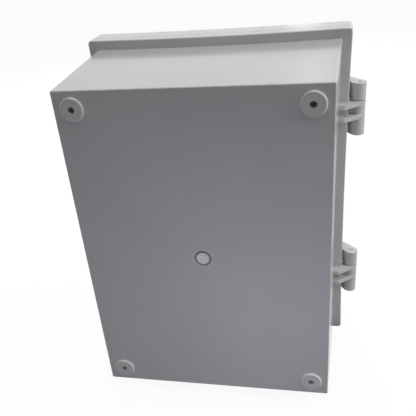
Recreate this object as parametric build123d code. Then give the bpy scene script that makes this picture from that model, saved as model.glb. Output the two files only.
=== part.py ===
from build123d import *
import os
from math import acos, atan2, cos, hypot, radians, sin, tan

# Weatherproof wall box with a hinged door, sizes in millimetres.
# X runs across the door, +Y goes back into the wall and +Z goes up.
# The origin is midway between the four wall holes, on the plane of the wall.
# A depth is a distance in front of that plane, so depth d lies at y = -d.
# An inset is a distance in from the outline of the closed door.

# Closed box
BOX_WIDTH = 150.0
BOX_HEIGHT = 200.0
BOX_DEPTH = 100.0
DRAFT = 1.0                     # degrees, on the body's side walls
DOOR_DRAFT = 1.0                # degrees, on the door's side walls
LONG_BOW = 1.2                  # how far the long sides pull in at mid height
SHORT_BOW = 0.8                 # how far the short sides pull in at mid width
DOOR_FRONT_BOW = 0.5            # share of that bow that is left at the door's front
OVERLAP = 1.0                   # how far shapes that are joined run into each other

# Body
WALL = 2.8
FLOOR = 3.0
PAD_HEIGHT = 1.2
DOOR_DEPTH = 18.5               # part of the box's depth that belongs to the door
FLANGE_THICKNESS = 6.0
FLANGE_OVERHANG = 5.3
FLANGE_CORNER = 2.0
BODY_CORNER = 0.8
BACK_EDGE_CHAMFER = 0.4
FLANGE_EDGE_CHAMFER = 0.4
CAVITY_CORNER = 0.8

# Rim that presses into the gasket
RIM_INSET = 4.4
RIM_THICKNESS = 1.8
RIM_HEIGHT = 4.2
RING_OUTER_CORNER = 2.4         # also of the gasket and of its groove
RING_INNER_CORNER = 1.2

# Wall pads, their blind holes and the injection gate mark
HOLE_INSET_X = 16.5             # from the outline of the closed box
HOLE_INSET_Z = 16.0
PAD_DIAMETER = 12.7
PAD_CHAMFER = 0.6
WALL_HOLE_DIAMETER = 3.3
WALL_HOLE_DEPTH = 6.5
GATE_RING_DIAMETER = 9.9
GATE_DISC_DIAMETER = 7.5
GATE_RECESS = 0.5

# Plate bosses with brass inserts
BOSS_DIAMETER = 10.0
BOSS_HEIGHT = 10.5
BOSS_WEB = 1.6
BOSS_WEB_DROP = 1.0             # web's top below the boss's
INSERT_DIAMETER = 5.6
INSERT_LENGTH = 6.0
INSERT_BORE = 4.1
INSERT_GAP = 0.02
INSERT_BLIND = 0.5

# Mounting plate and its screws
PLATE_THICKNESS = 2.0
PLATE_MARGIN = 2.0
PLATE_CORNER = 4.0
SCREW_DIAMETER = 3.9
SCREW_LENGTH = 7.0
SCREW_HEAD_DIAMETER = 7.4
SCREW_HEAD_HEIGHT = 1.7
SCREW_HEAD_SUNK = 0.05          # below the plate's front
SCREW_HOLE_GAP = 0.1            # all round the screw's shank and head

# Hinges and latches share one barrel size and stand at the same two heights
BARREL_RADIUS = 3.9
BARREL_OFFSET = 4.8             # barrel axis out from the flange's edge
BARREL_SETBACK = 0.8            # barrel axis behind the parting plane
BARREL_LENGTH = 30.0
BARREL_INSET = 45.0             # middle of a barrel, in from the end of the box
BODY_KNUCKLE = 10.0
KNUCKLE_GAP = 0.3
PIN_DIAMETER = 2.5
PIN_RUNNING_GAP = 0.06
PIN_SNUG_GAP = 0.02
PIN_RECESS = 0.2                # of the pin's ends in the barrel

# Bracket that carries each body knuckle: two ribs and a web
RIB_THICKNESS = 2.6
RIB_REACH = 5.7                 # behind the flange
RIB_LAND = 2.7                  # straight length beside the wall
RIB_CORNER = 1.6
KNUCKLE_WEB = 3.0               # wall between knuckle and flange, at the parting plane

# Door
DOOR_WALL = 2.6
DOOR_FACE = 2.8
SKIRT_DEPTH = 13.5              # of the door's outer frame, from the parting plane
SKIRT_EDGE_RADIUS = 1.8
EDGE_LAND = 0.3                 # straight length behind a finished front edge
PANEL_INSET = 8.6               # of the raised middle panel
PANEL_CORNER = 5.0
PANEL_EDGE_CHAMFER = 1.2
PARTING_GAP = 0.3
GROOVE_WIDTH = 4.4
GROOVE_WALL = 2.2
GROOVE_WALL_GAP = 1.2           # groove wall's edge in front of the parting plane
DOOR_ARM_REACH = 9.6            # of the hinge arm, in front of the parting plane
DOOR_ARM_GAP = 0.3              # from the flange's side to the arm's rear edge
DOOR_ARM_BACK = 0.5             # of that edge, behind the parting plane

# Gasket
GASKET_WIDTH = 4.0
GASKET_HEIGHT = 4.6
GASKET_GAP = 0.2

# Catch on the door and the latch that grips it
CATCH_START = 5.2               # in front of the parting plane
CATCH_WIDTH = 3.6
CATCH_HEIGHT = 2.4
CATCH_LENGTH = 22.0
CATCH_SLOPE = 1.4
CATCH_CORNER = 0.4
TOOTH_GAP = 0.3
TOOTH_WIDTH = 3.0
TOOTH_LAND = 1.0                # flat end of the tooth
TOOTH_LENGTH = 24.0
TOOTH_CORNER = 0.5
LATCH_THICKNESS = 2.8
LATCH_INNER = 3.6               # inner face of the lever, out from the flange's edge
LATCH_OVERRUN = 1.5             # lever's end in front of the door's skirt
LATCH_LIP_LENGTH = 3.4
LATCH_LIP_FLARE = 3.0
LATCH_BEND_RADIUS = 1.2
LATCH_NOTCH_GAP = 0.9
LATCH_CORNER = 3.0

# Worked out from the sizes above
HALF_WIDTH = BOX_WIDTH / 2
HALF_HEIGHT = BOX_HEIGHT / 2
BACK_DEPTH = PAD_HEIGHT
FLOOR_DEPTH = BACK_DEPTH + FLOOR
PARTING_DEPTH = BOX_DEPTH - DOOR_DEPTH
FLANGE_DEPTH = PARTING_DEPTH - FLANGE_THICKNESS
DOOR_START = PARTING_DEPTH + PARTING_GAP
BARREL_X = HALF_WIDTH + BARREL_OFFSET
BARREL_DEPTH = PARTING_DEPTH - BARREL_SETBACK
BOSS_DEPTH = FLOOR_DEPTH + BOSS_HEIGHT
PLATE_FRONT = BOSS_DEPTH + PLATE_THICKNESS
RIM_TIP = PARTING_DEPTH + RIM_HEIGHT
GASKET_FACE = RIM_TIP + GASKET_GAP
GASKET_SEAT = GASKET_FACE + GASKET_HEIGHT
GROOVE_MIDDLE = RIM_INSET + RIM_THICKNESS / 2
SKIRT_FRONT = PARTING_DEPTH + SKIRT_DEPTH
LATCH_END = SKIRT_FRONT + LATCH_OVERRUN
HOLE_X = HALF_WIDTH - HOLE_INSET_X
HOLE_Z = HALF_HEIGHT - HOLE_INSET_Z
HOLES = [(x * HOLE_X, z * HOLE_Z) for z in (1, -1) for x in (-1, 1)]
CORNERS = ["upper_left", "upper_right", "lower_left", "lower_right"]
HEIGHTS = {"upper": HALF_HEIGHT - BARREL_INSET, "lower": BARREL_INSET - HALF_HEIGHT}


def outline(depth, inset, bow_share, corner):
    """Rounded oblong across the box at a depth, whose sides bow inwards."""
    w, h = HALF_WIDTH - inset, HALF_HEIGHT - inset
    long_bow, short_bow = LONG_BOW * bow_share, SHORT_BOW * bow_share
    low_left, low_right, top_right, top_left = (-w, -h), (w, -h), (w, h), (-w, h)
    if bow_share == 0:
        edge = Polyline(low_left, low_right, top_right, top_left, close=True)
    else:
        edge = ThreePointArc(low_left, (0, -h + short_bow), low_right)
        edge += ThreePointArc(low_right, (w - long_bow, 0), top_right)
        edge += ThreePointArc(top_right, (0, h - short_bow), top_left)
        edge += ThreePointArc(top_left, (-w + long_bow, 0), low_left)
    face = make_face(edge)
    face = fillet(face.vertices(), corner)
    return Plane.XZ.offset(depth) * face


def body_inset(depth):
    """Inset of the body's tapered side wall."""
    return FLANGE_OVERHANG + (FLANGE_DEPTH - depth) * tan(radians(DRAFT))


def body_bow(depth):
    """Share of the bow: none at the back, all of it at the parting plane."""
    return max(depth - BACK_DEPTH, 0) / (PARTING_DEPTH - BACK_DEPTH)


def body_solid(start, end, inset, corner):
    """Tapered block that follows the body's walls between two depths."""
    ends = [outline(d, body_inset(d) + inset, body_bow(d), corner) for d in (start, end)]
    return loft(ends, ruled=True)


def door_outline(depth, inset, corner):
    """Outline of the door's tapered side wall at a depth."""
    taper = (depth - DOOR_START) * tan(radians(DOOR_DRAFT))
    bow = 1 - (1 - DOOR_FRONT_BOW) * (depth - PARTING_DEPTH) / DOOR_DEPTH
    return outline(depth, inset + taper, bow, corner)


def door_solid(start, end, inset, corner):
    """Tapered block that follows the door's walls between two depths."""
    return loft([door_outline(d, inset, corner) for d in (start, end)], ruled=True)


def edged_door_solid(start, end, inset, corner, finish, size):
    """Tapered block of the door with a straight front end, whose edge is rounded or chamfered."""
    shoulder = end - size - EDGE_LAND
    cap = extrude(door_outline(shoulder, inset, corner), end - shoulder, dir=(0, -1, 0))
    return door_solid(start, shoulder, inset, corner) + finish(edges_at_depth(cap, end), size)


def ring(start, end, outer_inset, inner_inset):
    """Frame of constant section that follows the parting line."""
    frame = outline(start, outer_inset, 1, RING_OUTER_CORNER)
    frame -= outline(start, inner_inset, 1, RING_INNER_CORNER)
    return extrude(frame, end - start, dir=(0, -1, 0))


def post(x, z, start, end, diameter):
    """Round post or hole along Y between two depths."""
    return extrude(Plane.XZ.offset(start) * Pos(x, z) * Circle(diameter / 2), end - start, dir=(0, -1, 0))


def countersink(x, z, start, end, start_diameter, end_diameter):
    """Cone along Y between two depths."""
    on_its_end = (Align.CENTER, Align.CENTER, Align.MIN)
    cone = Cone(start_diameter / 2, end_diameter / 2, end - start, align=on_its_end)
    return Plane.XZ.offset(start) * Pos(x, z) * cone


def edges_at_depth(solid, depth):
    """Edges of a solid that lie in the plane at a depth."""
    return solid.edges().filter_by_position(Axis.Y, -depth - 0.01, -depth + 0.01)


def slab(points, radius, low, high):
    """Plate between two heights, cut to a profile of (x, depth) points with one rounded corner."""
    face = make_face(Polyline(*[(x, -d) for x, d in points], close=True))
    if radius:
        face = fillet(face.vertices().sort_by_distance((points[2][0], -points[2][1]))[0], radius)
    return extrude(Pos(0, 0, low) * face, high - low)


def barrel(radius, low, high):
    """Cylinder on the barrel axis of the right-hand side."""
    return Pos(BARREL_X, -BARREL_DEPTH, (low + high) / 2) * Cylinder(radius, high - low)


def tangent_point(x, depth, radius, turn):
    """Where a line from (x, depth) touches a circle about the barrel axis."""
    dx, dd = x - BARREL_X, depth - BARREL_DEPTH
    angle = atan2(dd, dx) + turn * acos(radius / hypot(dx, dd))
    return BARREL_X + radius * cos(angle), BARREL_DEPTH + radius * sin(angle)


def both_sides_of_knuckle():
    """Height spans of the two outer knuckles, from the middle of a barrel."""
    near, far = BODY_KNUCKLE / 2 + KNUCKLE_GAP, BARREL_LENGTH / 2
    return [(near, far), (-far, -near)]


def body_bracket():
    """Two sloping ribs and a web with a knuckle at their outer ends, about height zero."""
    back = FLANGE_DEPTH - RIB_REACH
    root = HALF_WIDTH - body_inset(back) - WALL / 2
    land = root + WALL / 2 + RIB_LAND
    touch = tangent_point(land, back, BARREL_RADIUS, 1)
    profile = [(root, PARTING_DEPTH), (root, back), (land, back), touch]
    profile += [(BARREL_X, BARREL_DEPTH), (BARREL_X, PARTING_DEPTH)]
    half = BODY_KNUCKLE / 2
    ribs = slab(profile, RIB_CORNER, half - RIB_THICKNESS, half)
    ribs += slab(profile, RIB_CORNER, -half, RIB_THICKNESS - half)
    web_back = PARTING_DEPTH - KNUCKLE_WEB
    web = [(root, PARTING_DEPTH), (root, web_back), (BARREL_X, web_back), (BARREL_X, PARTING_DEPTH)]
    bracket = ribs + slab(web, 0, -half, half) + barrel(BARREL_RADIUS, -half, half)
    return bracket - barrel(PIN_DIAMETER / 2 + PIN_SNUG_GAP, -BARREL_LENGTH, BARREL_LENGTH)


def corner_webs(x, z):
    """Two thin webs that tie a boss to the nearest side walls."""
    out_x = (HALF_WIDTH - body_inset(FLOOR_DEPTH) - WALL / 2) * (1 if x > 0 else -1)
    out_z = (HALF_HEIGHT - body_inset(FLOOR_DEPTH) - WALL / 2) * (1 if z > 0 else -1)
    start, end = FLOOR_DEPTH - OVERLAP, BOSS_DEPTH - BOSS_WEB_DROP
    middle = -(start + end) / 2
    across = Pos((x + out_x) / 2, middle, z) * Box(abs(out_x - x), end - start, BOSS_WEB)
    upright = Pos(x, middle, (z + out_z) / 2) * Box(BOSS_WEB, end - start, abs(out_z - z))
    return across + upright


def base_housing():
    """Open moulded body with its flange, rim, wall pads, bosses and four brackets."""
    body = body_solid(BACK_DEPTH, PARTING_DEPTH, 0, BODY_CORNER)
    body = chamfer(edges_at_depth(body, BACK_DEPTH), BACK_EDGE_CHAMFER)
    flange = extrude(outline(FLANGE_DEPTH, 0, 1, FLANGE_CORNER), FLANGE_THICKNESS, dir=(0, -1, 0))
    flange = chamfer(edges_at_depth(flange, FLANGE_DEPTH), FLANGE_EDGE_CHAMFER)
    body += flange
    body -= body_solid(FLOOR_DEPTH, PARTING_DEPTH + OVERLAP, WALL, CAVITY_CORNER)
    body += ring(PARTING_DEPTH - OVERLAP, RIM_TIP, RIM_INSET, RIM_INSET + RIM_THICKNESS)
    for x, z in HOLES:
        pad = post(x, z, 0, BACK_DEPTH + OVERLAP, PAD_DIAMETER)
        body += chamfer(edges_at_depth(pad, 0), PAD_CHAMFER)
        body += post(x, z, FLOOR_DEPTH - OVERLAP, BOSS_DEPTH, BOSS_DIAMETER) + corner_webs(x, z)
    for x, z in HOLES:
        body -= post(x, z, 0, WALL_HOLE_DEPTH, WALL_HOLE_DIAMETER)
        blind = INSERT_LENGTH + INSERT_BLIND
        body -= post(x, z, BOSS_DEPTH - blind, BOSS_DEPTH, INSERT_DIAMETER + 2 * INSERT_GAP)
    gate = post(0, 0, BACK_DEPTH, BACK_DEPTH + GATE_RECESS, GATE_RING_DIAMETER)
    body -= gate - post(0, 0, BACK_DEPTH, BACK_DEPTH + GATE_RECESS, GATE_DISC_DIAMETER)
    bracket = body_bracket()
    for z in HEIGHTS.values():
        right = Pos(0, 0, z) * bracket
        body += right
        body += mirror(right, about=Plane.YZ)
    return body


def flange_side(z):
    """Where the flange's bowed long side lies at a height."""
    return HALF_WIDTH - LONG_BOW * (1 - (z / HALF_HEIGHT) ** 2)


def door_arm():
    """Hinge knuckles of the door with their sloping arms, on the right, about height zero."""
    foot = (HALF_WIDTH - DOOR_WALL / 2, PARTING_DEPTH + DOOR_ARM_REACH + DOOR_WALL / 2)
    end_height = HEIGHTS["upper"] + BARREL_LENGTH / 2
    rear_edge = (flange_side(end_height) + DOOR_ARM_GAP, PARTING_DEPTH - DOOR_ARM_BACK)
    rear_touch = tangent_point(*rear_edge, BARREL_RADIUS, 1)
    front_touch = tangent_point(*foot, BARREL_RADIUS, -1)
    profile = [(foot[0], DOOR_START), (rear_edge[0], DOOR_START), rear_edge, rear_touch]
    profile += [(BARREL_X, BARREL_DEPTH), front_touch, foot]
    arms = None
    for low, high in both_sides_of_knuckle():
        knuckle = slab(profile, 0, low, high) + barrel(BARREL_RADIUS, low, high)
        arms = knuckle if arms is None else arms + knuckle
    return arms - barrel(PIN_DIAMETER / 2 + PIN_RUNNING_GAP, -BARREL_LENGTH, BARREL_LENGTH)


def catch():
    """Ridge on the door's side that a latch grips, on the right, about height zero."""
    start = PARTING_DEPTH + CATCH_START
    root, top = HALF_WIDTH - DOOR_WALL / 2, HALF_WIDTH + CATCH_HEIGHT
    profile = [(root, start), (root, start + CATCH_WIDTH), (top, start + CATCH_WIDTH)]
    profile += [(top, start + CATCH_SLOPE), (HALF_WIDTH, start)]
    return slab(profile, CATCH_CORNER, -CATCH_LENGTH / 2, CATCH_LENGTH / 2)


def door():
    """Moulded door: a skirt with a gasket groove, a raised panel, hinge arms and two catches."""
    outer = GROOVE_MIDDLE - GROOVE_WIDTH / 2
    inner = GROOVE_MIDDLE + GROOVE_WIDTH / 2
    tray = edged_door_solid(DOOR_START, SKIRT_FRONT, 0, FLANGE_CORNER, fillet, SKIRT_EDGE_RADIUS)
    start = SKIRT_FRONT - OVERLAP
    tray += edged_door_solid(start, BOX_DEPTH, PANEL_INSET, PANEL_CORNER, chamfer, PANEL_EDGE_CHAMFER)
    core_corner, hollow = PANEL_CORNER - DOOR_WALL, PANEL_INSET + DOOR_WALL
    tray -= door_solid(DOOR_START, SKIRT_FRONT - DOOR_FACE, inner + GROOVE_WALL, core_corner)
    tray -= door_solid(DOOR_START, BOX_DEPTH - DOOR_FACE, hollow, core_corner)
    tray -= ring(DOOR_START, GASKET_FACE, DOOR_WALL, inner)
    tray -= ring(GASKET_FACE, GASKET_SEAT, outer, inner)
    tray -= ring(DOOR_START, PARTING_DEPTH + GROOVE_WALL_GAP, DOOR_WALL, hollow)
    arm, ridge = door_arm(), catch()
    for z in HEIGHTS.values():
        tray += mirror(Pos(0, 0, z) * arm, about=Plane.YZ)
        tray += Pos(0, 0, z) * ridge
    return tray


def gasket():
    """Endless foam seal that fills the door's groove and faces the rim."""
    half = GASKET_WIDTH / 2
    return ring(GASKET_FACE, GASKET_SEAT, GROOVE_MIDDLE - half, GROOVE_MIDDLE + half)


def latch():
    """Snap lever: two knuckles, a flat lever, a tooth behind the catch and a flared lip."""
    inner = HALF_WIDTH + LATCH_INNER
    outer = inner + LATCH_THICKNESS
    bend = LATCH_END - LATCH_LIP_LENGTH
    shoulder = tangent_point(outer, bend, BARREL_RADIUS, -1)
    profile = [(BARREL_X, BARREL_DEPTH), (inner, BARREL_DEPTH + OVERLAP), (inner, bend + OVERLAP)]
    profile += [(inner + LATCH_LIP_FLARE, LATCH_END), (outer + LATCH_LIP_FLARE, LATCH_END)]
    profile += [(outer, bend), shoulder]
    half = BARREL_LENGTH / 2
    lever = slab(profile, LATCH_BEND_RADIUS, -half, half)
    tip = lever.edges().filter_by(Axis.X).group_by(Axis.Y)[0]
    lever = fillet(tip, LATCH_CORNER)
    notch_half = BODY_KNUCKLE / 2 + KNUCKLE_GAP
    notch = barrel(BARREL_RADIUS + LATCH_NOTCH_GAP, -notch_half, notch_half)
    lever += barrel(BARREL_RADIUS, -half, half)
    lever -= notch
    face = HALF_WIDTH + TOOTH_GAP
    start = PARTING_DEPTH + CATCH_START + CATCH_WIDTH + TOOTH_GAP
    root, end = inner + OVERLAP, start + TOOTH_WIDTH
    tooth = [(root, start), (face, start), (face, start + TOOTH_LAND), (inner, end), (root, end)]
    lever += slab(tooth, TOOTH_CORNER, -TOOTH_LENGTH / 2, TOOTH_LENGTH / 2)
    return lever - barrel(PIN_DIAMETER / 2 + PIN_RUNNING_GAP, -BARREL_LENGTH, BARREL_LENGTH)


def barrel_pin():
    """Plain steel pin, a little shorter than its barrel."""
    half = BARREL_LENGTH / 2 - PIN_RECESS
    return barrel(PIN_DIAMETER / 2, -half, half)


def insert(x, z):
    """Brass sleeve for a plate screw, flush with its boss."""
    start = BOSS_DEPTH - INSERT_LENGTH
    return post(x, z, start, BOSS_DEPTH, INSERT_DIAMETER) - post(x, z, start, BOSS_DEPTH, INSERT_BORE)


def screw_shape(x, z, start, grown):
    """Countersunk screw, or the hole for one, larger all round."""
    shank, head = SCREW_DIAMETER + 2 * grown, SCREW_HEAD_DIAMETER + 2 * grown
    top = PLATE_FRONT - (0 if grown else SCREW_HEAD_SUNK)
    shape = post(x, z, start, top, shank)
    return shape + countersink(x, z, top - SCREW_HEAD_HEIGHT, top, shank, head)


def plate():
    """Flat steel mounting plate on the four bosses."""
    inset = body_inset(PLATE_FRONT) + WALL + PLATE_MARGIN
    sheet = extrude(outline(BOSS_DEPTH, inset, 0, PLATE_CORNER), PLATE_THICKNESS, dir=(0, -1, 0))
    for x, z in HOLES:
        sheet -= screw_shape(x, z, BOSS_DEPTH, SCREW_HOLE_GAP)
    return sheet


def plate_screw(x, z):
    """Countersunk screw that holds the plate to an insert."""
    return screw_shape(x, z, PLATE_FRONT - SCREW_LENGTH, 0)


def write(name, solid):
    """Write one piece as its own file."""
    solid.label = name
    export_step(solid, f"parts/{name}.step")


os.makedirs("parts", exist_ok=True)
write("base_housing", base_housing())
write("door", door())
write("door_gasket", gasket())
write("mounting_plate", plate())
for corner_name, (hole_x, hole_z) in zip(CORNERS, HOLES):
    write(f"plate_insert_{corner_name}", insert(hole_x, hole_z))
    write(f"plate_screw_{corner_name}", plate_screw(hole_x, hole_z))
lever_shape, pin_shape = latch(), barrel_pin()
for level, height in HEIGHTS.items():
    write(f"latch_{level}", Pos(0, 0, height) * lever_shape)
    write(f"latch_pin_{level}", Pos(0, 0, height) * pin_shape)
    write(f"hinge_pin_{level}", mirror(Pos(0, 0, height) * pin_shape, about=Plane.YZ))
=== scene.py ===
from math import cos, pi, radians, sin

import bmesh
import bpy
from bpy.props import FloatProperty, FloatVectorProperty, PointerProperty
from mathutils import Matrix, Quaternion, Vector


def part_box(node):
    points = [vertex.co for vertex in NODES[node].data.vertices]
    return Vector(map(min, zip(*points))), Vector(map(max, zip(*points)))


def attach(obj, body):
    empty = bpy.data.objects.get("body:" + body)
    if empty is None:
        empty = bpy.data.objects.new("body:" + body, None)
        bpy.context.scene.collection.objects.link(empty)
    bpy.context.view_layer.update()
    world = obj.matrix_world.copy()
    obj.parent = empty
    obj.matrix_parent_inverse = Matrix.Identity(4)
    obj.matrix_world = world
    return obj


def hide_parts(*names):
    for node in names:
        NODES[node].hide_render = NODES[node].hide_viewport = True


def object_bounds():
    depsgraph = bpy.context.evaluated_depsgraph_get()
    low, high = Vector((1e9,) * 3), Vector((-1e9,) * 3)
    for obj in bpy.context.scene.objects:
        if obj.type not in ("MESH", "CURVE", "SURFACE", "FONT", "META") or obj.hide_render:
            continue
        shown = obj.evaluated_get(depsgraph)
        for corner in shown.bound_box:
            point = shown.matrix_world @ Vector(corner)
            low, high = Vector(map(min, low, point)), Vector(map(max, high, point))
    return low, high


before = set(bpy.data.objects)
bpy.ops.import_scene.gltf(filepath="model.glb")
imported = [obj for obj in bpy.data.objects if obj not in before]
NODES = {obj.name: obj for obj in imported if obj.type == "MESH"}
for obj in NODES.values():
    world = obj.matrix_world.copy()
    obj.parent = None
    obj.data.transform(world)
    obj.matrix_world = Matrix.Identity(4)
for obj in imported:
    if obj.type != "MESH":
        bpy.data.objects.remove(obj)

bl_info = {
    "name": "Weatherproof Wall Box",
    "version": (1, 0, 0),
    "blender": (4, 5, 0),
    "location": "View3D > Sidebar > Wall Box",
    "description": "Finishes the moulded wall box and sets its stage",
    "category": "Object",
}

# The box stands upright: +Z is up, +Y points back into the wall and the door faces -Y.
CAD_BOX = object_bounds()
LEVELS = ("upper", "lower")
CORNERS = ("upper_left", "upper_right", "lower_left", "lower_right")
MM = 0.001
# The wall pads' middles, which lie on the wall holes' axes, and their radius.
PAD_X, PAD_Z, PAD_RADIUS = 58.5 * MM, 84.0 * MM, 6.35 * MM
# What lies behind the first plane is the pads, and behind the second the whole back with the gate's groove.
PADS_START, BACK_START = -1.0 * MM, -1.9 * MM
# How far in from a pad's edge its rim's painted highlight begins and where that is full, how far the middle
# is rubbed pale, and how strong the rim's painted highlight is.
PAD_RIM_START, PAD_RIM_FULL = 0.9 * MM, 0.5 * MM
PAD_MIDDLE_WEAR, PAD_RIM_HIGHLIGHT = 0.25, 0.6
# Distances out from the gate's stub: where its whiteness fades, how far its edge wanders, where the painted
# shade in its groove fades, and the middle and half width of the lip round that groove, which gets a painted
# highlight.
STUB_FADE_OUTER, STUB_FADE_INNER, STUB_WANDER = 0.5 * MM, -0.2 * MM, 0.7 * MM
SHADE_FADE_OUTER, SHADE_FADE_INNER = 1.1 * MM, 0.7 * MM
LIP_MIDDLE, LIP_HALF_WIDTH = 1.6 * MM, 0.45 * MM
# How strong the lip's painted highlight and the groove's painted shade are, and how the stub's face leans.
LIP_HIGHLIGHT, SHADE_STRENGTH, STUB_SLANT = 0.3, 0.75, (0, 0, 0.2)
# Sizes of the fine patterns in moulded plastic: clouds of tint, grain and crazed spots, and how high each
# relief stands.
CLOUD_SIZE, GRAIN_SIZE, CRAZE_SIZE = 60 * MM, 0.5 * MM, 1.5 * MM
RIPPLE_HEIGHT, GRAIN_HEIGHT, CRAZE_HEIGHT = 0.02 * MM, 0.0015 * MM, 0.4 * MM

# How far the crystals of the galvanised sheet are pushed out of line, and the spacing of that.
CRYSTAL_WARP, WARP_SPACING = 1.5 * MM, 5 * MM

# The floor's size in metres and the share of it that glows, so that the camera sees it as nearly white.
FLOOR_SIZE, FLOOR_GLOW = 12, 0.93
# The way to the overhead lamp, and how wide it spreads.
OVERHEAD, OVERHEAD_SPREAD = (-0.02, -0.06, 1.0), radians(60)
# What each square lamp shines at, the length of its sides and its colour. Its place and power are settings.
SQUARE_LAMPS = {
    "fill": ((97 * MM, 0, -86 * MM), 80 * MM, "EAF0FF"),
    "side": ((-75 * MM, -75 * MM, 0), 300 * MM, "FFFAF2"),
    "latch_side": ((75 * MM, -60 * MM, 0), 300 * MM, "FFFEFB"),
    "front": ((0, -80 * MM, 0), 400 * MM, "FFFEFB"),
}
# Two strips of window: the name of each one's glint, where it stands, the point on the box whose mirror image
# of it the camera sees, and how bright it is beside the brighter one. Both have the same width and height.
WINDOWS = (
    ("door_glint", (91 * MM, -2057 * MM, 432 * MM), (-48 * MM, -82 * MM, 100 * MM), 1.0),
    ("wall_glint", (41 * MM, -1906 * MM, 712 * MM), (-56 * MM, -8 * MM, 93 * MM), 0.4),
)
WINDOW_WIDTH, WINDOW_HEIGHT = 110 * MM, 14 * MM


def linear(hex_colour):
    """Linear colour of an sRGB hex value."""
    channels = [int(hex_colour[i:i + 2], 16) / 255 for i in (0, 2, 4)]
    return (*[c / 12.92 if c <= 0.04045 else ((c + 0.055) / 1.055) ** 2.4 for c in channels], 1.0)


def colour_setting(name, description, hex_colour):
    """Colour property whose default is an sRGB hex value."""
    return FloatVectorProperty(
        name=name, description=description, subtype="COLOR", size=4, min=0, max=1, default=linear(hex_colour)
    )


def length_setting(name, description, millimetres):
    """Length property whose default is given in millimetres."""
    return FloatProperty(
        name=name, description=description, unit="LENGTH", min=0, precision=5, default=millimetres * MM
    )


class WallBoxFinish(bpy.types.PropertyGroup):
    """Colours and surface sizes of the box."""

    moulding: colour_setting("Moulding", "Colour of the moulded ABS", "C4C4C6")
    moulding_roughness: FloatProperty(
        name="Moulding roughness", description="How matt the moulded ABS is", min=0, max=1, default=0.13
    )
    moulding_ripple: length_setting("Ripple", "Spacing of the faint waves in moulded walls", 14.0)
    smear: length_setting("Smears", "Size of the dull smears that handling leaves", 25.0)
    # This pale colour serves rubbed pad middles and edges, and also the painted highlights on edges, pad rims
    # and the gate's lip.
    rubbed_and_highlight: colour_setting("Rubbed edges and highlights", "Colour of the plastic where it has rubbed on a table", "EDEBE4")
    # Edges are painted pale, partly as rubbing and partly as painted highlight.
    edge_wear_and_highlight: FloatProperty(
        name="Edge wear and highlight", description="How far the moulded edges are rubbed pale", min=0, max=1, default=0.35
    )
    moulding_edge: length_setting("Edge radius", "Radius that moulded edges seem to have", 0.45)
    gate_colour: colour_setting("Gate mark", "Colour of the stressed plastic at the gate", "FDFDFF")
    # Painted shade: the dark colour put in the groove round the gate mark.
    groove_shade: colour_setting("Groove shade", "Colour of the dirt in the groove round the gate mark", "4A463C")
    gate_radius: length_setting("Gate radius", "Radius of the gate's stub", 3.75)
    seal: colour_setting("Seal", "Colour of the foam rubber", "26272A")
    seal_cell: length_setting("Foam cell", "Size of the foam's cells, drawn coarse enough to show", 0.6)
    zinc: colour_setting("Zinc", "Colour of the galvanised sheet", "B9BCBE")
    zinc_spangle: length_setting("Spangle", "Size of the zinc crystals on the sheet", 4.0)
    steel: colour_setting("Steel", "Colour of the drawn pins", "BDBDBC")
    plating: colour_setting("Plating", "Colour of the zinc-plated screws", "CBCDD2")
    brass: colour_setting("Brass", "Colour of the turned inserts", "C9A765")


class WallBoxStage(bpy.types.PropertyGroup):
    """Camera, floor and lights."""

    camera_place: FloatVectorProperty(
        name="Camera place", description="Where the camera stands", unit="LENGTH",
        default=(-71.8 * MM, 274.0 * MM, 174.3 * MM),
    )
    camera_heading: FloatProperty(
        name="Heading", description="Turn of the view from straight ahead towards +X", unit="ROTATION",
        default=radians(15.5),
    )
    camera_pitch: FloatProperty(
        name="Pitch", description="How far the view looks down", unit="ROTATION", default=radians(32.6)
    )
    camera_roll: FloatProperty(
        name="Roll", description="Tilt of the camera about its view", unit="ROTATION", default=radians(-6.37)
    )
    camera_lens: FloatProperty(
        name="Focal length", description="Focal length on a 36 mm sensor", unit="CAMERA", default=53.05
    )
    camera_shift: FloatVectorProperty(
        name="Shift", description="Shift of the picture, as a share of its width", size=2,
        default=(0.0284, 0.1517),
    )
    daylight: FloatProperty(
        name="Daylight", description="Strength of the even light from all round", min=0, default=0.1
    )
    key: FloatProperty(
        name="Key light", description="Light on a level surface from the soft lamp above", min=0, default=0.44
    )
    floor_bounce: FloatProperty(
        name="Floor bounce", description="Share of light that the floor throws back",
        min=0, max=1, default=0.1,
    )
    fill: FloatProperty(
        name="Fill light", description="Power of the low lamp behind the box, in watts",
        min=0, default=0.077,
    )
    fill_place: FloatVectorProperty(
        name="Fill place", description="Where the low lamp stands", unit="LENGTH",
        default=(-67 * MM, 146 * MM, -25 * MM),
    )
    side: FloatProperty(
        name="Side light", description="Power of the lamp high beside the hinges, in watts",
        min=0, default=2.8,
    )
    side_place: FloatVectorProperty(
        name="Side place", description="Where the lamp beside the hinges stands", unit="LENGTH",
        default=(-640 * MM, -20 * MM, 300 * MM),
    )
    latch_side: FloatProperty(
        name="Latch side light", description="Power of the lamp beside the latches, in watts",
        min=0, default=1.0,
    )
    latch_side_place: FloatVectorProperty(
        name="Latch side place", description="Where the lamp beside the latches stands", unit="LENGTH",
        default=(600 * MM, -150 * MM, 60 * MM),
    )
    front: FloatProperty(
        name="Front light", description="Power of the lamp before the door, in watts", min=0, default=4.0
    )
    front_place: FloatVectorProperty(
        name="Front place", description="Where the lamp before the door stands", unit="LENGTH",
        default=(150 * MM, -800 * MM, 250 * MM),
    )
    glint: FloatProperty(
        name="Glints", description="Power of the brighter strip that shows as a glint, in watts", min=0,
        default=0.05,
    )


def deselect():
    """Leave nothing selected."""
    bpy.ops.object.select_all(action="DESELECT")


def settle(name, size=(1, 1, 1)):
    """Name the object just added, size it and bring its place, turn and size into its mesh."""
    piece = bpy.context.object
    piece.name = name
    piece.scale = size
    bpy.ops.object.transform_apply(location=True, rotation=True, scale=True)
    return piece


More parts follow.
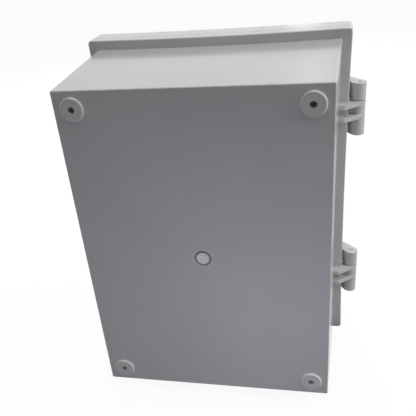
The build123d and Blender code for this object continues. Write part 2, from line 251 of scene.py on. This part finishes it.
def pick(piece, kind, wanted):
    """In edit mode, select just those vertices, edges or faces whose middle passes a test."""
    bpy.ops.mesh.select_mode(type=kind)
    bpy.ops.mesh.select_all(action="DESELECT")
    mesh = bmesh.from_edit_mesh(piece.data)
    for element in {"VERT": mesh.verts, "EDGE": mesh.edges, "FACE": mesh.faces}[kind]:
        corners = [element.co] if kind == "VERT" else [v.co for v in element.verts]
        element.select_set(wanted(sum(corners, Vector()) / len(corners)))
    mesh.select_flush_mode()
    bmesh.update_edit_mesh(piece.data)


def near(a, b):
    """True where two lengths are the same to a hundredth of a millimetre."""
    return abs(a - b) < 0.01 * MM


def finish_mesh(piece, angle):
    """Turn every face outwards, leave edit mode and smooth all but the sharp edges."""
    bpy.ops.mesh.select_all(action="SELECT")
    bpy.ops.mesh.normals_make_consistent(inside=False)
    bpy.ops.object.mode_set(mode="OBJECT")
    bpy.ops.object.shade_smooth_by_angle(angle=radians(angle))


def add(tree, kind, inputs=None, **settings):
    """Add a node to a tree, with its settings, its input values and its links."""
    node = tree.nodes.new(kind)
    for name, value in settings.items():
        setattr(node, name, value)
    for name, value in (inputs or {}).items():
        if isinstance(value, bpy.types.NodeSocket):
            tree.links.new(value, node.inputs[name])
        else:
            node.inputs[name].default_value = value
    return node


def new_material(name):
    """Empty material and its node tree."""
    material = bpy.data.materials.new(name)
    material.use_nodes = True
    material.node_tree.nodes.clear()
    return material, material.node_tree


def dress(objects, material):
    """Give these objects one material."""
    for piece in objects:
        piece.data.materials.clear()
        piece.data.materials.append(material)


def cloudy_grey(tree, finish, place):
    """The plastic's own grey, a little lighter or darker from place to place."""
    cloud = add(tree, "ShaderNodeTexNoise", {"Vector": place, "Scale": 1 / CLOUD_SIZE, "Detail": 3.0})
    tint = add(tree, "ShaderNodeMapRange", {
        "Value": cloud.outputs["Fac"], "From Min": 0.3, "From Max": 0.7, "To Min": 0.95, "To Max": 1.03,
    })
    tinted = add(tree, "ShaderNodeMixRGB", {
        "Fac": 1.0, "Color1": finish.moulding, "Color2": tint.outputs["Result"],
    }, blend_type="MULTIPLY")
    return tinted.outputs["Color"]


def gate_stub(tree, finish, crazed, from_gate, on_back):
    """Mask of the stub where the gate was cut, with a wandering edge."""
    reach = add(tree, "ShaderNodeMath", {0: crazed, 1: STUB_WANDER, 2: from_gate}, operation="MULTIPLY_ADD")
    inside = add(tree, "ShaderNodeMapRange", {
        "Value": reach.outputs["Value"],
        "From Min": finish.gate_radius + STUB_FADE_OUTER, "From Max": finish.gate_radius + STUB_FADE_INNER,
    })
    stub = add(tree, "ShaderNodeMath", {0: inside.outputs["Result"], 1: on_back}, operation="MULTIPLY")
    return stub.outputs["Value"]


def pad_wear_and_rim_highlight(tree, across, depth):
    """How far the wall pads are rubbed pale in the middle, with a painted highlight on their rims."""
    # Distance from the nearest wall pad's middle, by folding the four quarters of the back on each other.
    quarter = add(tree, "ShaderNodeVectorMath", {0: across}, operation="ABSOLUTE")
    from_pad = add(tree, "ShaderNodeVectorMath", {
        0: quarter.outputs["Vector"], 1: (PAD_X, 0, PAD_Z),
    }, operation="DISTANCE")
    raised = add(tree, "ShaderNodeMath", {0: depth, 1: PADS_START}, operation="GREATER_THAN")
    # Painted highlight: the pad's rim is painted paler, as if its rounded edge caught the light.
    rim = add(tree, "ShaderNodeMapRange", {
        "Value": from_pad.outputs["Value"],
        "From Min": PAD_RADIUS - PAD_RIM_START, "From Max": PAD_RADIUS - PAD_RIM_FULL,
        "To Min": PAD_MIDDLE_WEAR, "To Max": PAD_RIM_HIGHLIGHT,
    })
    wear_and_highlight = add(tree, "ShaderNodeMath", {
        0: raised.outputs["Value"], 1: rim.outputs["Result"],
    }, operation="MULTIPLY")
    return wear_and_highlight.outputs["Value"]


def faint_wear_and_highlight(tree, finish, rounded, from_gate, on_back):
    """How far the edges are painted pale, partly as rubbing and partly as painted highlight, and how far a
    low lip round the gate's groove gets a painted highlight.
    """
    # An edge is where the rounded normal turns away from the plain one.
    plain = add(tree, "ShaderNodeNewGeometry")
    turned = add(tree, "ShaderNodeVectorMath", {
        0: rounded, 1: plain.outputs["Normal"],
    }, operation="DOT_PRODUCT")
    # Edges are painted pale, partly as rubbing and partly as painted highlight.
    edge = add(tree, "ShaderNodeMapRange", {
        "Value": turned.outputs["Value"], "From Min": 0.97, "From Max": 0.8, "To Max": finish.edge_wear_and_highlight,
    })
    # Painted highlight: a pale ring on the low lip round the gate's groove.
    lip = add(tree, "ShaderNodeMath", {
        0: from_gate, 1: finish.gate_radius + LIP_MIDDLE, 2: LIP_HALF_WIDTH,
    }, operation="COMPARE")
    lip_on_back = add(tree, "ShaderNodeMath", {0: lip.outputs["Value"], 1: on_back}, operation="MULTIPLY")
    wear_and_highlight = add(tree, "ShaderNodeMath", {
        0: lip_on_back.outputs["Value"], 1: LIP_HIGHLIGHT, 2: edge.outputs["Result"],
    }, operation="MULTIPLY_ADD")
    return wear_and_highlight.outputs["Value"]


def painted_groove_shade(tree, finish, from_gate, on_back):
    """How far painted shade darkens the groove round the gate's stub."""
    in_groove = add(tree, "ShaderNodeMapRange", {
        "Value": from_gate,
        "From Min": finish.gate_radius + SHADE_FADE_OUTER, "From Max": finish.gate_radius + SHADE_FADE_INNER,
    })
    groove_shade = add(tree, "ShaderNodeMath", {0: in_groove.outputs["Result"], 1: on_back}, operation="MULTIPLY")
    faint = add(tree, "ShaderNodeMath", {0: groove_shade.outputs["Value"], 1: SHADE_STRENGTH}, operation="MULTIPLY")
    return faint.outputs["Value"]


def smeared_sheen(tree, finish, place):
    """Roughness with the smears that handling leaves, which are a little duller than the clean wall."""
    smears = add(tree, "ShaderNodeTexNoise", {
        "Vector": place, "Scale": 1 / finish.smear, "Detail": 3.0, "Roughness": 0.5,
    })
    sheen = add(tree, "ShaderNodeMapRange", {
        "Value": smears.outputs["Fac"], "From Min": 0.4, "From Max": 0.75,
        "To Min": finish.moulding_roughness, "To Max": finish.moulding_roughness + 0.1,
    })
    return sheen.outputs["Result"]


def moulded_relief(tree, finish, place, rounded, crazed, stub):
    """Normal with the walls' faint waves, the fine grain and the torn face of the stub."""
    ripple = add(tree, "ShaderNodeTexNoise", {
        "Vector": place, "Scale": 1 / finish.moulding_ripple, "Detail": 2.0, "Roughness": 0.5,
    })
    grain = add(tree, "ShaderNodeTexNoise", {"Vector": place, "Scale": 1 / GRAIN_SIZE, "Detail": 2.0})
    waves = add(tree, "ShaderNodeBump", {
        "Height": ripple.outputs["Fac"], "Distance": RIPPLE_HEIGHT, "Strength": 1.0, "Normal": rounded,
    })
    grained = add(tree, "ShaderNodeBump", {
        "Height": grain.outputs["Fac"], "Distance": GRAIN_HEIGHT, "Strength": 1.0,
        "Normal": waves.outputs["Normal"],
    })
    torn = add(tree, "ShaderNodeBump", {
        "Height": crazed, "Distance": CRAZE_HEIGHT, "Strength": stub, "Normal": grained.outputs["Normal"],
    })
    # The stub broke off at a slant, so that its face looks a little upwards.
    slant = add(tree, "ShaderNodeVectorMath", {
        0: stub, 1: STUB_SLANT, 2: torn.outputs["Normal"],
    }, operation="MULTIPLY_ADD")
    facing = add(tree, "ShaderNodeVectorMath", {0: slant.outputs["Vector"]}, operation="NORMALIZE")
    return facing.outputs["Vector"]


def moulded_abs(finish):
    """Moulded ABS: an even light grey with a soft sheen, faintly wavy, whitened where the gate was cut, with
    painted highlights on its edges, pad rims and the gate's lip and painted shade in the gate's groove.
    """
    material, tree = new_material("moulded_abs")
    place = add(tree, "ShaderNodeTexCoord").outputs["Object"]
    split = add(tree, "ShaderNodeSeparateXYZ", {"Vector": place})
    depth = split.outputs["Y"]
    flat = add(tree, "ShaderNodeCombineXYZ", {"X": split.outputs["X"], "Y": 0.0, "Z": split.outputs["Z"]})
    across = flat.outputs["Vector"]
    from_gate = add(tree, "ShaderNodeVectorMath", {0: across}, operation="LENGTH").outputs["Value"]
    behind = add(tree, "ShaderNodeMath", {0: depth, 1: BACK_START}, operation="GREATER_THAN")
    on_back = behind.outputs["Value"]
    crazing = add(tree, "ShaderNodeTexNoise", {"Vector": place, "Scale": 1 / CRAZE_SIZE, "Detail": 3.0})
    crazed = crazing.outputs["Fac"]
    stub = gate_stub(tree, finish, crazed, from_gate, on_back)
    rounded = add(tree, "ShaderNodeBevel", {"Radius": finish.moulding_edge}, samples=6).outputs["Normal"]

    # Pale mix: rubbing on the pads' middles and edges, and painted highlights on the edges, the pads' rims
    # and the gate's lip.
    wear_and_highlight = add(tree, "ShaderNodeMath", {
        0: pad_wear_and_rim_highlight(tree, across, depth), 1: faint_wear_and_highlight(tree, finish, rounded, from_gate, on_back),
    }, operation="MAXIMUM", use_clamp=True)
    worn_and_highlighted = add(tree, "ShaderNodeMixRGB", {
        "Fac": wear_and_highlight.outputs["Value"], "Color1": cloudy_grey(tree, finish, place), "Color2": finish.rubbed_and_highlight,
    })
    # Painted shade darkens the groove round the gate's stub.
    shaded = add(tree, "ShaderNodeMixRGB", {
        "Fac": painted_groove_shade(tree, finish, from_gate, on_back),
        "Color1": worn_and_highlighted.outputs["Color"], "Color2": finish.groove_shade,
    })
    # Stressed plastic is whitest where it is crazed.
    strength = add(tree, "ShaderNodeMapRange", {
        "Value": crazed, "From Min": 0.35, "From Max": 0.65, "To Min": 0.75, "To Max": 1.0,
    })
    whitening = add(tree, "ShaderNodeMath", {0: stub, 1: strength.outputs["Result"]}, operation="MULTIPLY")
    colour = add(tree, "ShaderNodeMixRGB", {
        "Fac": whitening.outputs["Value"], "Color1": shaded.outputs["Color"], "Color2": finish.gate_colour,
    })
    shader = add(tree, "ShaderNodeBsdfPrincipled", {
        "Base Color": colour.outputs["Color"], "Roughness": smeared_sheen(tree, finish, place), "IOR": 1.53,
        "Normal": moulded_relief(tree, finish, place, rounded, crazed, stub),
    })
    add(tree, "ShaderNodeOutputMaterial", {"Surface": shader.outputs["BSDF"]})
    return material


def foam_rubber(finish):
    """Closed-cell foam rubber: dull charcoal with a fine open grain."""
    material, tree = new_material("foam_rubber")
    place = add(tree, "ShaderNodeTexCoord").outputs["Object"]
    cells = add(tree, "ShaderNodeTexVoronoi", {"Vector": place, "Scale": 1 / finish.seal_cell})
    shade = add(tree, "ShaderNodeMapRange", {
        "Value": cells.outputs["Distance"], "To Min": 1.15, "To Max": 0.75,
    })
    colour = add(tree, "ShaderNodeMixRGB", {
        "Fac": 1.0, "Color1": finish.seal, "Color2": shade.outputs["Result"],
    }, blend_type="MULTIPLY")
    bump = add(tree, "ShaderNodeBump", {"Height": cells.outputs["Distance"], "Distance": 0.08 * MM})
    shader = add(tree, "ShaderNodeBsdfPrincipled", {
        "Base Color": colour.outputs["Color"], "Roughness": 0.85, "IOR": 1.5,
        "Normal": bump.outputs["Normal"],
    })
    add(tree, "ShaderNodeOutputMaterial", {"Surface": shader.outputs["BSDF"]})
    return material


def galvanised_sheet(finish):
    """Hot-dip galvanised steel: large soft crystals that shift in brightness over a dull metal."""
    material, tree = new_material("galvanised_sheet")
    place = add(tree, "ShaderNodeTexCoord").outputs["Object"]
    wander = add(tree, "ShaderNodeTexNoise", {"Vector": place, "Scale": 1 / WARP_SPACING, "Detail": 2.0})
    warped = add(tree, "ShaderNodeMixRGB", {
        "Fac": CRYSTAL_WARP, "Color1": place, "Color2": wander.outputs["Color"],
    }, blend_type="ADD")
    crystals = add(tree, "ShaderNodeTexVoronoi", {
        "Vector": warped.outputs["Color"], "Scale": 1 / finish.zinc_spangle,
    })
    level = add(tree, "ShaderNodeSeparateColor", {"Color": crystals.outputs["Color"]})
    shade = add(tree, "ShaderNodeMapRange", {"Value": level.outputs["Red"], "To Min": 0.93, "To Max": 1.04})
    colour = add(tree, "ShaderNodeMixRGB", {
        "Fac": 1.0, "Color1": finish.zinc, "Color2": shade.outputs["Result"],
    }, blend_type="MULTIPLY")
    roughness = add(tree, "ShaderNodeMapRange", {
        "Value": level.outputs["Green"], "To Min": 0.32, "To Max": 0.5,
    })
    bump = add(tree, "ShaderNodeBump", {"Height": level.outputs["Blue"], "Distance": 0.01 * MM})
    shader = add(tree, "ShaderNodeBsdfPrincipled", {
        "Base Color": colour.outputs["Color"], "Metallic": 1.0, "Roughness": roughness.outputs["Result"],
        "Normal": bump.outputs["Normal"],
    })
    add(tree, "ShaderNodeOutputMaterial", {"Surface": shader.outputs["BSDF"]})
    return material


def worked_metal(name, colour, roughness, grain, stretch):
    """Metal with fine tool marks: grain is their spacing, and stretch draws them out along X, Y or Z."""
    material, tree = new_material(name)
    place = add(tree, "ShaderNodeTexCoord").outputs["Object"]
    drawn = add(tree, "ShaderNodeMapping", {"Vector": place, "Scale": stretch})
    marks = add(tree, "ShaderNodeTexNoise", {
        "Vector": drawn.outputs["Vector"], "Scale": 1 / grain, "Detail": 3.0,
    })
    shade = add(tree, "ShaderNodeMapRange", {"Value": marks.outputs["Fac"], "To Min": 0.85, "To Max": 1.1})
    tinted = add(tree, "ShaderNodeMixRGB", {
        "Fac": 1.0, "Color1": colour, "Color2": shade.outputs["Result"],
    }, blend_type="MULTIPLY")
    rough = add(tree, "ShaderNodeMapRange", {
        "Value": marks.outputs["Fac"], "To Min": roughness - 0.06, "To Max": roughness + 0.08,
    })
    bump = add(tree, "ShaderNodeBump", {"Height": marks.outputs["Fac"], "Distance": 0.01 * MM})
    shader = add(tree, "ShaderNodeBsdfPrincipled", {
        "Base Color": tinted.outputs["Color"], "Metallic": 1.0, "Roughness": rough.outputs["Result"],
        "Normal": bump.outputs["Normal"],
    })
    add(tree, "ShaderNodeOutputMaterial", {"Surface": shader.outputs["BSDF"]})
    return material


def seen_white(tree, hidden, shown):
    """Mix that shows one shader to the camera and to mirrors, and another to soft light."""
    path = add(tree, "ShaderNodeLightPath")
    mirrors = add(tree, "ShaderNodeMath", {
        0: path.outputs["Is Glossy Ray"], 1: path.outputs["Is Transmission Ray"],
    }, operation="MAXIMUM")
    seen = add(tree, "ShaderNodeMath", {
        0: path.outputs["Is Camera Ray"], 1: mirrors.outputs["Value"],
    }, operation="MAXIMUM")
    return add(tree, "ShaderNodeMixShader", {0: seen.outputs["Value"], 1: hidden, 2: shown}).outputs["Shader"]


class WALLBOX_OT_mouldings(bpy.types.Operator):
    """Give the housing, the door and the latches their moulded finish"""

    bl_idname = "wall_box.mouldings"
    bl_label = "Finish the mouldings"

    def execute(self, context):
        names = ["base_housing", "door"] + [f"latch_{level}" for level in LEVELS]
        dress([NODES[n] for n in names], moulded_abs(context.scene.wall_box_finish))
        return {"FINISHED"}


class WALLBOX_OT_gasket(bpy.types.Operator):
    """Model the foam gasket that lies in the door's groove"""

    bl_idname = "wall_box.gasket"
    bl_label = "Model the gasket"

    WIDTH = 4.0 * MM
    CORNER = 5.2 * MM
    CROWN = 1.6 * MM
    CROWN_LAND = 0.6 * MM
    CROWN_STEPS = 5
    LONG_BOW = 1.1 * MM
    SHORT_BOW = 0.7 * MM
    BOW_PARTS = 14

    def execute(self, context):
        deselect()
        low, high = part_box("door_gasket")
        size = high - low
        bpy.ops.mesh.primitive_plane_add(size=1, location=(0, low.y, 0), rotation=(radians(-90), 0, 0))
        gasket = settle("foam_gasket", (size.x, size.z, 1))
        bpy.ops.object.mode_set(mode="EDIT")
        bpy.ops.mesh.select_all(action="SELECT")
        bpy.ops.mesh.bevel(offset=self.CORNER, segments=6, affect="VERTICES")
        self.bow(gasket, size.x / 2, size.z / 2 - self.CORNER, self.LONG_BOW, 0)
        self.bow(gasket, size.z / 2, size.x / 2 - self.CORNER, self.SHORT_BOW, 2)
        pick(gasket, "FACE", lambda middle: True)
        bpy.ops.mesh.inset(thickness=self.WIDTH)
        bpy.ops.mesh.delete(type="FACE")
        bpy.ops.mesh.select_all(action="SELECT")
        bpy.ops.mesh.extrude_region_move(TRANSFORM_OT_translate={"value": (0, size.y - self.CROWN, 0)})
        # The crown rises in steps of a quarter round, and both edges of the ring draw in with it to a land.
        reach = (self.WIDTH - self.CROWN_LAND) / 2
        turns = [radians(90 * step / self.CROWN_STEPS) for step in range(self.CROWN_STEPS + 1)]
        for before, after in zip(turns, turns[1:]):
            bpy.ops.mesh.inset(
                thickness=reach * (cos(before) - cos(after)), depth=self.CROWN * (sin(after) - sin(before))
            )
        finish_mesh(gasket, 40)
        dress([gasket], foam_rubber(context.scene.wall_box_finish))
        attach(gasket, "door")
        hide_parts("door_gasket")
        return {"FINISHED"}

    def bow(self, gasket, side, half_length, bow, across):
        """Divide the two straight sides that lie across one axis and draw each one's middle in."""
        along = 2 - across
        pick(gasket, "EDGE", lambda middle: near(abs(middle[across]), side) and near(middle[along], 0))
        bpy.ops.mesh.subdivide(number_cuts=self.BOW_PARTS - 1)
        stations = [half_length * (2 * part / self.BOW_PARTS - 1) for part in range(1, self.BOW_PARTS)]
        for end in (-1, 1):
            for station in stations:
                inwards = Vector((0, 0, 0))
                inwards[across] = -end * bow * (1 - (station / half_length) ** 2)
                pick(
                    gasket, "VERT",
                    lambda spot: near(spot[across], end * side) and near(spot[along], station),
                )
                bpy.ops.transform.translate(value=inwards)


class WALLBOX_OT_plate(bpy.types.Operator):
    """Give the mounting plate its galvanised sheet"""

    bl_idname = "wall_box.plate"
    bl_label = "Finish the mounting plate"

    def execute(self, context):
        dress([NODES["mounting_plate"]], galvanised_sheet(context.scene.wall_box_finish))
        return {"FINISHED"}


class WALLBOX_OT_pins(bpy.types.Operator):
    """Give the hinges' and latches' pins their drawn stainless steel"""

    bl_idname = "wall_box.pins"
    bl_label = "Finish the pins"

    def execute(self, context):
        finish = context.scene.wall_box_finish
        # Drawn stainless steel: bright, with fine lines along the pin.
        steel = worked_metal("drawn_steel", finish.steel, 0.28, 0.3 * MM, (1, 1, 0.05))
        dress([NODES[f"{kind}_pin_{level}"] for kind in ("hinge", "latch") for level in LEVELS], steel)
        return {"FINISHED"}


class WALLBOX_OT_inserts(bpy.types.Operator):
    """Give the threaded inserts their turned brass"""

    bl_idname = "wall_box.inserts"
    bl_label = "Finish the inserts"

    def execute(self, context):
        finish = context.scene.wall_box_finish
        # Turned brass: yellow, with fine rings round the insert.
        brass = worked_metal("turned_brass", finish.brass, 0.3, 0.3 * MM, (0.2, 1, 0.2))
        dress([NODES[f"plate_insert_{corner}"] for corner in CORNERS], brass)
        return {"FINISHED"}


class WALLBOX_OT_plate_screws(bpy.types.Operator):
    """Model the countersunk screws that hold the mounting plate"""

    bl_idname = "wall_box.plate_screws"
    bl_label = "Model the plate screws"

    HEAD_SIDES = 48
    HEAD_HEIGHT = 1.7 * MM
    HEAD_EDGE = 0.12 * MM
    SHANK_RADIUS = 1.95 * MM
    TIP_CHAMFER = 0.4 * MM
    RECESS_SPAN = 4.4 * MM
    RECESS_BREADTH = 0.95 * MM
    RECESS_DEPTH = 1.6 * MM
    RECESS_TAPER = 0.5

    def execute(self, context):
        finish = context.scene.wall_box_finish
        first = self.countersunk_screw(CORNERS[0])
        screws = [first] + [self.copy_to(first, corner) for corner in CORNERS[1:]]
        # Zinc plating: a slightly blue, softly clouded shine.
        dress(screws, worked_metal("zinc_plating", finish.plating, 0.3, 1.5 * MM, (1, 1, 1)))
        for corner, screw in zip(CORNERS, screws):
            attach(screw, "box")
            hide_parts(f"plate_screw_{corner}")
        return {"FINISHED"}

    def countersunk_screw(self, corner):
        """Model an M4 countersunk screw with a cross recess in place of the plain CAD one."""
        deselect()
        low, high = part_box(f"plate_screw_{corner}")
        x, z = (low.x + high.x) / 2, (low.z + high.z) / 2
        head = (high.x - low.x) / 2
        under_head = low.y + self.HEAD_HEIGHT
        bpy.ops.mesh.primitive_cylinder_add(
            vertices=self.HEAD_SIDES, radius=head, depth=self.HEAD_HEIGHT,
            location=(x, low.y + self.HEAD_HEIGHT / 2, z), rotation=(radians(90), 0, 0),
        )
        screw = settle(f"cross_screw_{corner}")
        bpy.ops.object.mode_set(mode="EDIT")
        pick(screw, "FACE", lambda middle: near(middle.y, under_head))
        taper = self.SHANK_RADIUS / head
        bpy.ops.transform.resize(value=(taper, 1, taper), center_override=(x, under_head, z))
        bpy.ops.mesh.extrude_region_move(TRANSFORM_OT_translate={"value": (0, high.y - under_head, 0)})
        pick(screw, "EDGE", lambda middle: near(middle.y, high.y))
        bpy.ops.mesh.bevel(offset=self.TIP_CHAMFER, segments=1)
        pick(screw, "EDGE", lambda middle: near(middle.y, low.y))
        bpy.ops.mesh.bevel(offset=self.HEAD_EDGE, segments=2)
        bpy.ops.object.mode_set(mode="OBJECT")
        self.cut_slot(screw, (x, low.y, z), self.RECESS_SPAN, self.RECESS_BREADTH)
        self.cut_slot(screw, (x, low.y, z), self.RECESS_BREADTH, self.RECESS_SPAN)
        bpy.ops.object.mode_set(mode="EDIT")
        finish_mesh(screw, 35)
        return screw

    def cut_slot(self, screw, place, span, breadth):
        """Cut one wing of the cross recess, narrower at its bottom, with a tapered block."""
        deselect()
        bpy.ops.mesh.primitive_cube_add(size=1, location=place)
        block = settle("recess_block", (span, 2 * self.RECESS_DEPTH, breadth))
        bottom = place[1] + self.RECESS_DEPTH
        bpy.ops.object.mode_set(mode="EDIT")
        pick(block, "FACE", lambda middle: near(middle.y, bottom))
        bpy.ops.transform.resize(
            value=(self.RECESS_TAPER, 1, self.RECESS_TAPER), center_override=(place[0], bottom, place[2])
        )
        bpy.ops.object.mode_set(mode="OBJECT")
        bpy.context.view_layer.objects.active = screw
        cut = screw.modifiers.new("recess", "BOOLEAN")
        cut.operation, cut.solver, cut.object = "DIFFERENCE", "EXACT", block
        bpy.ops.object.modifier_apply(modifier=cut.name)
        deselect()
        block.select_set(True)
        bpy.ops.object.delete()
        bpy.context.view_layer.objects.active = screw
        screw.select_set(True)

    def copy_to(self, screw, corner):
        """Copy the first screw, with a mesh of its own, to another corner."""
        deselect()
        screw.select_set(True)
        bpy.context.view_layer.objects.active = screw
        start, end = (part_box(f"plate_screw_{name}")[0] for name in (CORNERS[0], corner))
        bpy.ops.object.duplicate(linked=False)
        bpy.ops.transform.translate(value=end - start)
        return settle(f"cross_screw_{corner}")


class WALLBOX_OT_stage(bpy.types.Operator):
    """Set the camera, the floor and the lights"""

    bl_idname = "wall_box.stage"
    bl_label = "Set the stage"

    def execute(self, context):
        stage = context.scene.wall_box_stage
        self.camera(context, stage)
        self.floor(stage)
        self.lights(context, stage)
        context.scene.view_settings.view_transform = "Standard"
        return {"FINISHED"}

    def camera(self, context, stage):
        """Camera that looks down on the back of the box."""
        deselect()
        bpy.ops.object.camera_add(location=stage.camera_place)
        camera = context.object
        camera.name = "camera"
        ahead = Vector((0, -1, 0))
        ahead.rotate(Quaternion((-1, 0, 0), -stage.camera_pitch))
        ahead.rotate(Quaternion((0, 0, 1), stage.camera_heading))
        level = ahead.to_track_quat("-Z", "Y")
        camera.rotation_mode = "QUATERNION"
        camera.rotation_quaternion = level @ Quaternion((0, 0, 1), stage.camera_roll)
        camera.data.lens = stage.camera_lens
        camera.data.sensor_width = 36
        camera.data.shift_x, camera.data.shift_y = stage.camera_shift
        camera.data.clip_start = 0.01
        context.scene.camera = camera

    def floor(self, stage):
        """Pale floor under the box, which the camera sees as white with a soft shadow."""
        deselect()
        bpy.ops.mesh.primitive_plane_add(size=FLOOR_SIZE, location=(0, 0, CAD_BOX[0].z))
        floor = bpy.context.object
        floor.name = "floor"
        material, tree = new_material("white_floor")
        bounce = add(tree, "ShaderNodeBsdfDiffuse", {"Color": (*[stage.floor_bounce] * 3, 1.0)})
        paint = add(tree, "ShaderNodeBsdfDiffuse", {"Color": linear("FDFDFD")})
        glow = add(tree, "ShaderNodeEmission", {"Color": linear("FFFFFF"), "Strength": 1.0})
        pale = add(tree, "ShaderNodeMixShader", {
            0: FLOOR_GLOW, 1: paint.outputs["BSDF"], 2: glow.outputs["Emission"],
        })
        surface = seen_white(tree, bounce.outputs["BSDF"], pale.outputs["Shader"])
        add(tree, "ShaderNodeOutputMaterial", {"Surface": surface})
        dress([floor], material)

    def lights(self, context, stage):
        """Even daylight all round, a soft lamp overhead, four square ones about the box and two glints."""
        world = bpy.data.worlds.new("daylight")
        world.use_nodes = True
        context.scene.world = world
        tree = world.node_tree
        tree.nodes.clear()
        soft = add(tree, "ShaderNodeBackground", {"Color": linear("FBFCFF"), "Strength": stage.daylight})
        white = add(tree, "ShaderNodeBackground", {"Color": linear("FFFFFF"), "Strength": 1.0})
        surface = seen_white(tree, soft.outputs["Background"], white.outputs["Background"])
        add(tree, "ShaderNodeOutputWorld", {"Surface": surface})
        deselect()
        bpy.ops.object.light_add(type="SUN", location=(0, 0, 1))
        lamp = context.object
        lamp.name = "overhead"
        lamp.data.energy = stage.key * pi
        lamp.data.angle = OVERHEAD_SPREAD
        lamp.rotation_mode = "QUATERNION"
        lamp.rotation_quaternion = Vector(OVERHEAD).to_track_quat("Z", "Y")
        for name, (aim, side, hex_colour) in SQUARE_LAMPS.items():
            place, power = getattr(stage, f"{name}_place"), getattr(stage, name)
            self.soft_lamp(name, place, aim, side, side, power, hex_colour)
        # Strips of a bright window, seen only as glints on the door's top and on the top wall.
        for name, place, aim, share in WINDOWS:
            glint = self.soft_lamp(
                name, place, aim, WINDOW_WIDTH, WINDOW_HEIGHT, stage.glint * share, "FFFFFF"
            )
            glint.visible_glossy = True
            glint.visible_diffuse = False

    def soft_lamp(self, name, place, aim, width, height, power, hex_colour):
        """Oblong lamp that shines from a place towards an aim and isn't seen itself."""
        deselect()
        bpy.ops.object.light_add(type="AREA", location=place)
        lamp = bpy.context.object
        lamp.name = name
        lamp.data.shape = "RECTANGLE"
        lamp.data.size, lamp.data.size_y = width, height
        lamp.data.energy = power
        lamp.data.color = linear(hex_colour)[:3]
        lamp.rotation_mode = "QUATERNION"
        lamp.rotation_quaternion = (Vector(place) - Vector(aim)).to_track_quat("Z", "Y")
        lamp.visible_camera = False
        lamp.visible_glossy = False
        return lamp


class WALLBOX_PT_panel(bpy.types.Panel):
    """Lists the steps that finish the box, with their settings"""

    bl_idname = "WALLBOX_PT_panel"
    bl_label = "Wall Box"
    bl_space_type = "VIEW_3D"
    bl_region_type = "UI"
    bl_category = "Wall Box"

    def draw(self, context):
        column = self.layout.column()
        for operator in STEPS:
            column.operator(operator.bl_idname)
        for group in (context.scene.wall_box_finish, context.scene.wall_box_stage):
            for name in group.bl_rna.properties.keys():
                if name not in ("rna_type", "name"):
                    column.prop(group, name)


STEPS = (
    WALLBOX_OT_mouldings, WALLBOX_OT_gasket, WALLBOX_OT_plate, WALLBOX_OT_plate_screws, WALLBOX_OT_inserts,
    WALLBOX_OT_pins, WALLBOX_OT_stage,
)
CLASSES = (WallBoxFinish, WallBoxStage, *STEPS, WALLBOX_PT_panel)


def register():
    for cls in CLASSES:
        bpy.utils.register_class(cls)
    bpy.types.Scene.wall_box_finish = PointerProperty(type=WallBoxFinish)
    bpy.types.Scene.wall_box_stage = PointerProperty(type=WallBoxStage)


def unregister():
    del bpy.types.Scene.wall_box_stage
    del bpy.types.Scene.wall_box_finish
    for cls in reversed(CLASSES):
        bpy.utils.unregister_class(cls)


def main():
    """Finish every piece and set the stage."""
    register()
    bpy.ops.wall_box.mouldings()
    bpy.ops.wall_box.gasket()
    bpy.ops.wall_box.plate()
    bpy.ops.wall_box.plate_screws()
    bpy.ops.wall_box.inserts()
    bpy.ops.wall_box.pins()
    bpy.ops.wall_box.stage()


if __name__ == "__main__":
    main()
